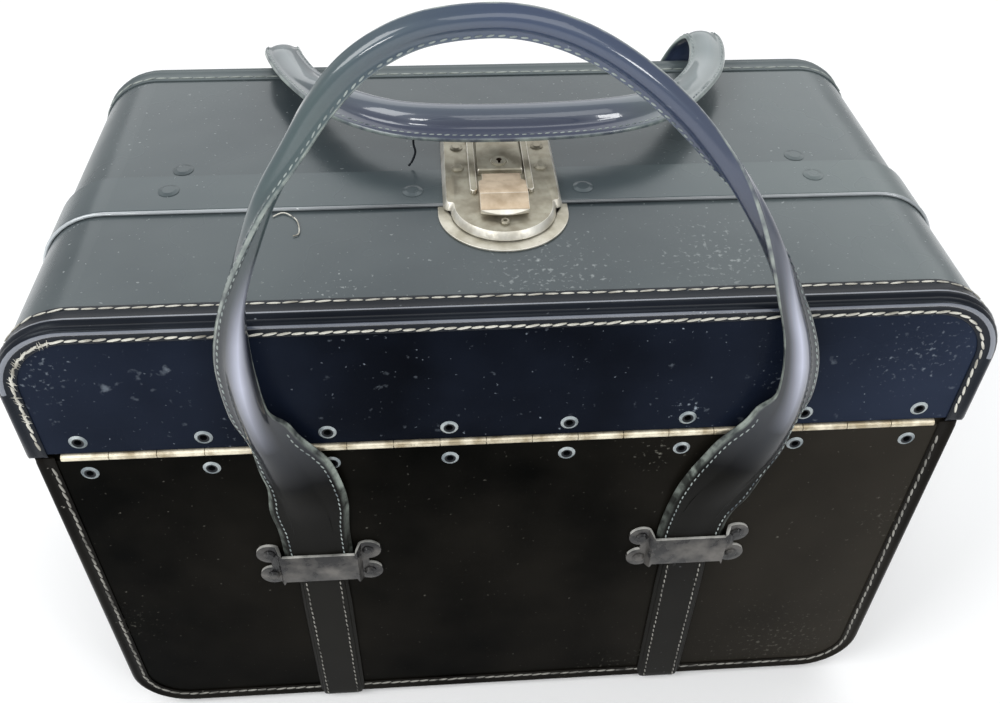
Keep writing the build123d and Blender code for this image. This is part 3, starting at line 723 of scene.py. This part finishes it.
# A section is a half width, a bulge to the front and to the back, then two edge flaps: each one's
# length and how far it is set forward, the step between its two layers, and the leather's thickness.
# The front handle closes to a slim tube, the rear one to a thick one.
FLAT = (10.0, 1.8, 1.5, 8.6, 0.0, 8.6, 0.0, 1.5, 3.0)
ROLLING = (7.6, 4.2, 3.0, 3.3, -0.3, 9.4, -1.8, 1.0, 2.6)
CLOSING = (6.0, 5.2, 4.6, 1.3, -0.2, 4.0, -2.6, 0.5, 2.2)
SHOULDER = (5.1, 5.0, 4.9, 2.9, 0.0, 0.3, 0.0, 0.05, 2.1)
SLIM = (3.5, 3.5, 3.5, 2.1, 0.0, 0.3, 0.0, 0.05, 1.7)
WIDE = (8.0, 2.2, 2.0, 4.6, 0.0, 6.4, 0.0, 1.0, 2.8)
RIBBON = (6.0, 2.5, 2.2, 2.9, 0.0, 2.7, 0.0, 0.4, 2.4)
THICK = (6.4, 5.8, 5.7, 5.2, 0.0, 0.3, 0.0, 0.05, 2.3)
FRONT_FORMS = (FLAT, ROLLING, CLOSING, SHOULDER, SLIM)
REAR_FORMS = (FLAT, WIDE, RIBBON, THICK)


def flap_root(form):
    """How far out from the middle a flap starts."""
    half, bulge, thick = form[0], form[1], form[8]
    return half * math.cos(math.asin(min(0.5 * thick / bulge, 0.98)))


def section(middle, across, outward, form):
    """A ring of points round a strap or tube. Across points from its sewn flap to its other flap."""
    half, bulge, back, flap_a, set_a, flap_b, set_b, step, thick = form
    root = flap_root(form)
    ring = []

    def flap(sign, length, offset):
        tip = root + length
        points = [
            (root, -0.5 * thick), (root + 0.5 * length, -0.5 * thick),
            (tip - 0.2 * thick, -0.46 * thick), (tip, -0.28 * thick), (tip, -0.08 * thick),
            (tip - step, 0.04 * thick), (tip - step, 0.3 * thick),
            (tip - step - 0.25 * thick, 0.5 * thick), (root + 0.4 * length, 0.47 * thick),
            (root, 0.5 * thick),
        ]
        for a, b in points if sign < 0 else reversed(points):
            share = min(max((a - root) / max(length, 0.4), 0), 1)
            ring.append((sign * a, b + offset * share))

    flap(-1, flap_a, set_a)
    for k in range(1, 8):
        angle = math.pi * (1 - k / 8)
        ring.append((half * 0.93 * math.cos(angle), bulge * max(math.sin(angle), 0.5 * thick / bulge)))
    flap(1, flap_b, set_b)
    for k in range(1, 6):
        angle = math.pi * k / 6
        ring.append((half * 0.9 * math.cos(angle), -back * max(math.sin(angle), 0.5 * thick / back)))
    return [middle + across * (a * MM) + outward * (b * MM) for a, b in ring]


def seam_point(middle, across, outward, form, sign, face):
    """Where a stitch row runs: 2 mm in from a flap's edge, on its front (face 1) or back (face -1)."""
    length, offset = (form[3], form[4]) if sign < 0 else (form[5], form[6])
    inset = min(2.0, 0.4 * length) + (form[7] if face > 0 else 0)
    a = flap_root(form) + length - inset
    b = face * 0.5 * form[8] + offset * (length - inset) / max(length, 0.4)
    return middle + across * (sign * a * MM) + outward * (b * MM)


def form_at(forms, roll):
    """The section between two forms in a row of them. Roll is 0 for the flat strap."""
    low = min(int(roll), len(forms) - 2)
    share = roll - low
    share = share * share * (3 - 2 * share)
    return [a + share * (b - a) for a, b in zip(forms[low], forms[low + 1])]


# How many steps a smooth curve has between two rows of numbers
RUN_STEPS = 4

# Rows of X, Y and Z in millimetres, roll, and the turn of the sewn edge from the inside of the arch
# in degrees
front_handle_rows = (
    (-77.5, -91.6, 101, 0.0, 180), (-77.5, -91.6, 112, 0.0, 180), (-77.6, -91.7, 124, 0.0, 180),
    (-77.9, -92.6, 138, 0.15, 180), (-79.2, -94.2, 152, 0.5, 180), (-81.5, -95.6, 166, 0.95, 180),
    (-84.8, -96.6, 180, 1.5, 180), (-88.2, -97.3, 194, 2.2, 178), (-90.4, -97.8, 206, 3.0, 174),
    (-91.3, -98, 218, 3.1, 172), (-91.4, -98, 232, 3.3, 164), (-89.6, -98, 248, 3.7, 148),
    (-86.0, -98, 262, 4.0, 128), (-80, -98, 278, 4.0, 104), (-73.4, -98, 293.2, 4.0, 82),
    (-64.2, -98, 308.6, 4.0, 56), (-55, -98, 323, 4.0, 36), (-43.8, -98, 335, 4.0, 24),
    (-29, -98, 343.2, 4.0, 14), (-12.5, -98, 345.9, 4.0, 8), (2, -98, 344.9, 4.0, 4),
    (17.3, -98, 339.4, 4.0, 0), (32.5, -98, 329.6, 4.0, -4), (47.6, -98, 316, 4.0, -12),
    (62, -98, 298.8, 4.0, -38), (74.5, -98, 280.2, 4.0, -90), (83.4, -98, 263.6, 4.0, -132),
    (90, -98, 248, 3.8, -160), (95.8, -98, 233, 3.5, -172), (99.2, -98, 219, 3.2, -178),
    (100.2, -97.8, 206, 3.0, -180), (99.2, -97.5, 194, 2.2, -180), (96.5, -96.8, 180, 1.5, -180),
    (92.0, -95.8, 166, 0.95, -180), (86.0, -94.4, 152, 0.5, -180), (80.5, -92.8, 138, 0.15, -180),
    (78.0, -91.7, 124, 0.0, -180), (77.5, -91.6, 112, 0.0, -180), (77.5, -91.6, 101, 0.0, -180),
)
rear_handle_rows = (
    (-77.5, 91.6, 101, 0.0, 180), (-77.5, 91.6, 116, 0.0, 180), (-78.2, 92.2, 134, 0.0, 180),
    (-80.2, 94.0, 156, 0.0, 180), (-82.6, 95.8, 180, 0.1, 180), (-85.0, 97.0, 204, 0.4, 180),
    (-87.6, 97.6, 222, 1.2, 180), (-90.0, 97.2, 238, 1.8, 180), (-91.0, 92.5, 248, 2.0, 180),
    (-90.0, 83.5, 251, 2.0, 180), (-86.2, 72.5, 251.4, 2.0, 180), (-79.5, 57.5, 252.2, 2.1, 180),
    (-69.0, 41, 254.0, 2.5, 180), (-54.5, 24, 256.2, 2.95, 188), (-37.5, 12.6, 257.6, 3.0, 195),
    (-18, 7.8, 258.4, 3.0, 198), (2, 6.6, 258.6, 3.0, 198), (21, 7.2, 258.6, 3.0, 198),
    (40, 9.6, 258.2, 3.0, 196), (57.5, 15.5, 257.0, 2.95, 190), (71.5, 25.5, 255.2, 2.6, 185),
    (83.5, 39, 252.6, 2.2, 180), (93.0, 54, 250.8, 2.0, 180), (99.6, 68, 250.4, 2.0, 180),
    (102.6, 82, 252.2, 2.0, 180), (101.4, 92.5, 251.8, 2.0, 180), (97.4, 97.8, 242, 1.8, 180),
    (94.6, 98.2, 226, 1.2, 180),
    (92.0, 97.0, 204, 0.4, 180), (88.0, 95.8, 180, 0.1, 180), (84.5, 94.0, 156, 0.0, 180),
    (79.5, 92.2, 134, 0.0, 180), (77.6, 91.6, 116, 0.0, 180), (77.5, 91.6, 101, 0.0, 180),
)


# The rear bands start to lean at this height and lie flat this much higher, or nearer in than this
# depth
LEAN_START, LEAN_RISE, LEAN_DEPTH = 0.236, 0.022, 0.085


def handle_stations(rows, forms, side):
    """Stations along a handle: its middle, its section's two directions, and the section's form."""
    run = smooth_run(rows, RUN_STEPS)
    points = [Vector(row[:3]) * MM for row in run]
    stations = []
    for i, row in enumerate(run):
        along = (points[min(i + 1, len(run) - 1)] - points[max(i - 1, 0)]).normalized()
        lean = Vector((0, side, 0))
        if side > 0:
            # The rear handle's bands lean over the lid's edge, from facing outward to facing up
            risen = (points[i].z - LEAN_START) / LEAN_RISE
            over = min(max(risen, 0), 1) if points[i].y > LEAN_DEPTH else 1.0
            lean = Vector((0, 1 - over, over)).normalized()
        out = (lean - along * lean.dot(along)).normalized()
        away = out.cross(along) if side < 0 else along.cross(out)
        turn = math.radians(row[4])
        flap = -away * math.cos(turn) + out * math.sin(turn)
        outward = -(away * math.sin(turn) + out * math.cos(turn))
        stations.append((points[i], -flap, outward, form_at(forms, row[3])))
    return stations


def split_off(whole, name, keep):
    """Copies the part of a handle whose faces pass a test, with the whole one's smooth shading."""
    piece = copy_of(whole, name)
    take(piece)
    bpy.ops.object.mode_set(mode="EDIT")
    bpy.ops.mesh.select_mode(type="FACE")
    bpy.ops.mesh.select_all(action="DESELECT")
    mesh = bmesh.from_edit_mesh(piece.data)
    for face in mesh.faces:
        face.select_set(not keep(face.calc_center_median()))
    bmesh.update_edit_mesh(piece.data)
    bpy.ops.mesh.delete(type="FACE")
    bpy.ops.object.mode_set(mode="OBJECT")
    apply_modifier(
        piece, "DATA_TRANSFER", object=whole, use_loop_data=True,
        data_types_loops={"CUSTOM_NORMAL"}, loop_mapping="NEAREST_POLYNOR",
    )
    return piece


# The height at which a handle is cut into straps and grip, and that of the straps' lowest stitches
SPLIT, LOWEST_STITCH = 0.168, 0.116
# Places in a section's ring: the middle of its rounded front, its two cut edges and its back
CREST = 13
CUT_EDGES = {3, 4, 5, 6, 20, 21, 22, 23}
UNDERSIDE = {0, 1, 25, 26, 27, 28, 29, 30, 31}


def make_handle(where, rows, forms, side, material, fold_start, fold_end):
    """One strap-and-handle, cut above each loop so that straps and grip can bend at their joints."""
    stations = handle_stations(rows, forms, side)
    rings = [section(*station) for station in stations]
    whole = draw_out(f"{where}_handle_whole", rings)
    places = [entry.value for entry in whole.data.attributes["ring_place"].data]
    for name, amount in (
        ("crest", lambda place: max(0.0, 1 - abs(place - CREST) / 3)),
        ("cut_edge", lambda place: float(place in CUT_EDGES)),
        ("underside", lambda place: float(place in UNDERSIDE)),
    ):
        marks = whole.data.attributes.new(name, "FLOAT", "POINT").data
        for index, place in enumerate(places):
            marks[index].value = amount(place)
    apply_modifier(whole, "SUBSURF", levels=1, render_levels=1)
    smooth(whole)
    paint(whole, material)
    grip = split_off(whole, f"{where}_handle_leather", lambda p: p.z > SPLIT)
    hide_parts(f"{where}_handle_grip")
    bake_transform(grip)
    for name, sign in (("left", -1), ("right", 1)):
        strap = split_off(
            whole, f"{where}_strap_{name}_leather", lambda p: p.z <= SPLIT and p.x * sign > 0
        )
        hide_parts(f"{where}_strap_{name}")
        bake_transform(strap)
    discard(whole)
    # Two rows on the sewn edge, one on each of its faces, and one row along the strap's other edge
    rolls = [row[3] for row in smooth_run(rows, RUN_STEPS)]
    lines = {
        "sewn_face": [(seam_point(*station, -1, 1), station[2]) for station in stations],
        "sewn_back": [(seam_point(*station, -1, -1), -station[2]) for station in stations],
    }
    inner = [(seam_point(*s, 1, 1), s[2]) for s, roll in zip(stations, rolls) if roll < 2.1]
    lines["inner_left"] = [(p, n) for p, n in inner if p.x < 0]
    lines["inner_right"] = [(p, n) for p, n in inner if p.x > 0]
    for name, line in lines.items():
        places = spaced(line, 3.0 * MM)
        groups = {
            "grip": [p for p in places if p[0].z > SPLIT],
            "left": [p for p in places if LOWEST_STITCH < p[0].z <= SPLIT and p[0].x < 0],
            "right": [p for p in places if LOWEST_STITCH < p[0].z <= SPLIT and p[0].x > 0],
        }
        for where_sewn, group in groups.items():
            if not group:
                continue
            row_name = f"{where}_{name}_{where_sewn}_stitches"
            row = sew(row_name, group, 2.1 * MM, 0.6 * MM, handle_thread)
            if where_sewn == "grip":
                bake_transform(row)
            else:
                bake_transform(row)


# Two places on each handle, at the front up its legs and at the rear over the lid's edge, given to make_handle
front_fold = (0, -0.098, 0.234), (0, -0.098, 0.262)
rear_fold = (0, 0.099, 0.236), (0, 0.076, 0.259)
make_handle("front", front_handle_rows, FRONT_FORMS, -1, front_handle_leather, *front_fold)
make_handle("rear", rear_handle_rows, REAR_FORMS, 1, rear_handle_leather, *rear_fold)


# Straps under the case


# The strap's middle runs this far out from the case's middle, this high above the floor, and round its
# lower edges with this radius, in millimetres. It is a flat strap whose front bulges less.
STRAP_OUT, STRAP_LOW, STRAP_BEND = 91.5, 1.5, 4.0
UNDER_FORM = (FLAT[0], 1.5, *FLAT[2:])


def under_strap(hand):
    """A two-layer strap that wraps the tub from loop to loop, with a stitch row along each edge."""
    name = f"under_strap_{hand}_leather"
    low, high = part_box(f"under_strap_{hand}")
    x = (low.x + high.x) / 2
    down = [(-STRAP_OUT, z, 0) for z in (112, 80, 45, 20, STRAP_LOW + STRAP_BEND + 4)]
    for turn in range(0, 91, 15):
        angle = math.radians(turn)
        in_by, up_by = STRAP_BEND * (1 - math.cos(angle)), STRAP_BEND * (1 - math.sin(angle))
        down.append((-STRAP_OUT + in_by, STRAP_LOW + up_by, turn))
    floor_run = [(y, STRAP_LOW, 90) for y in (-70, -35, 0, 35, 70)]
    stations = []
    for y, z, turn in down + floor_run + [(-y, z, 180 - turn) for y, z, turn in reversed(down)]:
        angle = math.radians(turn)
        outward = Vector((0, -math.cos(angle), -math.sin(angle)))
        stations.append((Vector((x, y * MM, z * MM)), Vector((1, 0, 0)), outward, UNDER_FORM))
    strap = draw_out(name, [section(*station) for station in stations])
    apply_modifier(strap, "SUBSURF", levels=1, render_levels=1)
    smooth(strap)
    paint(strap, strap_leather)
    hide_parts(f"under_strap_{hand}")
    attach(strap, "base")
    for edge, sign in (("left", -1), ("right", 1)):
        line = [(seam_point(*station, sign, 1), station[2]) for station in stations]
        places = [p for p in spaced(line, 3.6 * MM) if p[0].z > 4 * MM]
        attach(sew(f"{name}_{edge}_stitches", places, 2.7 * MM, 0.65 * MM, grey_thread), "base")


under_strap("left")
under_strap("right")


# Metal parts: copies of the CAD solids with their edges rounded and worn bright, and some faces painted bright,
# partly wear and partly a painted highlight


def rounded(name, body, width, edge_paint, rub_and_highlight=None):
    """Replaces a CAD node by a copy whose sharp edges are worn bright, and whose faces that pass a test are
    painted bright, partly as wear and partly as a painted highlight.
    """
    piece = copy_of(nodes[name], name + "_rounded")
    take(piece)
    bpy.ops.object.mode_set(mode="EDIT")
    bpy.ops.mesh.select_all(action="SELECT")
    bpy.ops.mesh.remove_doubles(threshold=0.005 * MM)
    bpy.ops.mesh.dissolve_limited(angle_limit=math.radians(1))
    bpy.ops.mesh.normals_make_consistent(inside=False)
    bpy.ops.object.mode_set(mode="OBJECT")
    piece.data.materials.append(edge_paint)
    apply_modifier(
        piece, "BEVEL", width=width * MM, segments=2, limit_method="ANGLE",
        angle_limit=math.radians(35), material=1, use_clamp_overlap=True,
    )
    for face in piece.data.polygons:
        if rub_and_highlight and rub_and_highlight(face):
            face.material_index = 1
    smooth(piece, 40)
    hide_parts(name)
    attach(piece, body)


for where in ("front", "rear"):
    for hand in ("left", "right"):
        # The loops' upward faces are painted pale steel: partly wear, partly a painted highlight
        rounded(f"{where}_loop_{hand}", "base", 0.35, bare_steel_and_highlight, lambda face: face.normal.z > 0.35)
# The lock plate's front and side faces are painted bright nickel: partly wear, partly a painted reflection
rounded(
    "lock_plate", "rear_lid", 0.45, bright_nickel,
    lambda face: face.normal.z < 0.7 and face.center.y < 0,
)
rounded("keyhole_housing", "rear_lid", 0.3, bright_nickel)
rounded("lock_rails", "rear_lid", 0.3, bright_nickel)
paint(nodes["striker_plate"], skirt_nickel)
rounded("striker_plate", "front_lid", 0.25, bright_nickel)
# The slide's forward faces are painted bright nickel: thumb wear and a painted highlight
rounded("thumb_slide", "latch", 0.4, bright_nickel, lambda face: face.normal.y < -0.6)

# Rivets through the leather: the rims of their heads are painted bright, partly as wear and partly as a painted
# highlight
for name, cap, rim in (
    ("lip_rivets", lip_leather, bright_nickel), ("rear_lid_rivets", lid_leather, bright_nickel),
    ("striker_rivets", bright_nickel, bright_nickel), ("lock_rivets", lock_nickel, bright_nickel),
):
    rivets = nodes[name]
    paint(rivets, cap)
    rivets.data.materials.append(rim)
    for face in rivets.data.polygons:
        if 0.05 < face.normal.z < 0.8:
            face.material_index = 1

# The keyway is dark inside its plug: faces within the plug's wall and under its top
KEYWAY_RADIUS, KEYWAY_DEPTH = 2.9 * MM, 0.05 * MM
key_x, key_y = pivots["key_turn"][:2]
plug = nodes["key_plug"]
plug.data.materials.append(keyhole_dark)
plug_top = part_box("key_plug")[1].z
for face in plug.data.polygons:
    inside = math.hypot(face.center.x - key_x, face.center.y - key_y) < KEYWAY_RADIUS
    if inside and face.center.z < plug_top - KEYWAY_DEPTH:
        face.material_index = 1

# Piping along the front edge of the lip strip, painted pale as a highlight
PIPING_RADIUS, PIPING_RISE, PIPING_FOOT = 0.75 * MM, 0.85 * MM, 181 * MM
piping_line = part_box("lip_strip")[0].y - 0.1 * MM
bead_rings = []
for x, z, out_x, out_z in rim_path(lid_high.x, PIPING_FOOT, lid_high.z, LID_CORNER):
    ring = []
    for k in range(8):
        angle = math.radians(45 * k)
        rise = PIPING_RISE + PIPING_RADIUS * math.sin(angle)
        across = piping_line + PIPING_RADIUS * math.cos(angle)
        ring.append(Vector((x + out_x * rise, across, z + out_z * rise)))
    bead_rings.append(ring)
piping = draw_out("lip_piping", bead_rings)
smooth(piping)
paint(piping, piping_leather)
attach(piping, "rear_lid")


def strand(name, points, radius, material, body):
    """A loose end of thread through points given in millimetres."""
    run = [Vector(p) * MM for p in smooth_run(points, RUN_STEPS)]
    rings = []
    for i, point in enumerate(run):
        along = (run[min(i + 1, len(run) - 1)] - run[max(i - 1, 0)]).normalized()
        one = along.orthogonal().normalized()
        two = along.cross(one)
        turns = [math.radians(60 * k) for k in range(6)]
        rings.append([point + (one * math.cos(t) + two * math.sin(t)) * radius * MM for t in turns])
    piece = draw_out(name, rings)
    smooth(piece)
    paint(piece, material)
    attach(piece, body)


dark_end = (
    (-32, 5.0, 254), (-32.2, 3.5, 250), (-31.6, 2.5, 247), (-33, 1.5, 243.5), (-34.5, 0.5, 242),
)
pale_end = (
    (-85, -30, 240.4), (-81, -28, 240.6), (-76, -33, 240.5), (-74.5, -41, 240.5), (-76.5, -43, 240.5),
)
strand("loose_dark_thread", dark_end, 0.45, edge_leather, "rear_grip")
strand("loose_pale_thread", pale_end, 0.25, cream_thread, "front_lid")


# Floor and room

clear_selection()
bpy.ops.mesh.primitive_plane_add(size=12, location=(0, 0, 0))
floor = bpy.context.object
floor.name = "floor"
floor_paint = bpy.data.materials.new("plain_paper_floor")
floor_paint.use_nodes = True
floor_shader = floor_paint.node_tree.nodes["Principled BSDF"]
floor_shader.inputs["Base Color"].default_value = linear("#ffffff")
floor_shader.inputs["Roughness"].default_value = 0.9
floor_shader.inputs["Specular IOR Level"].default_value = 0.1
paint(floor, floor_paint)

world = bpy.data.worlds.new("plain_room")
bpy.context.scene.world = world
world.use_nodes = True
world.node_tree.nodes["Background"].inputs["Color"].default_value = linear("#e8eaec")
world.node_tree.nodes["Background"].inputs["Strength"].default_value = 0.65
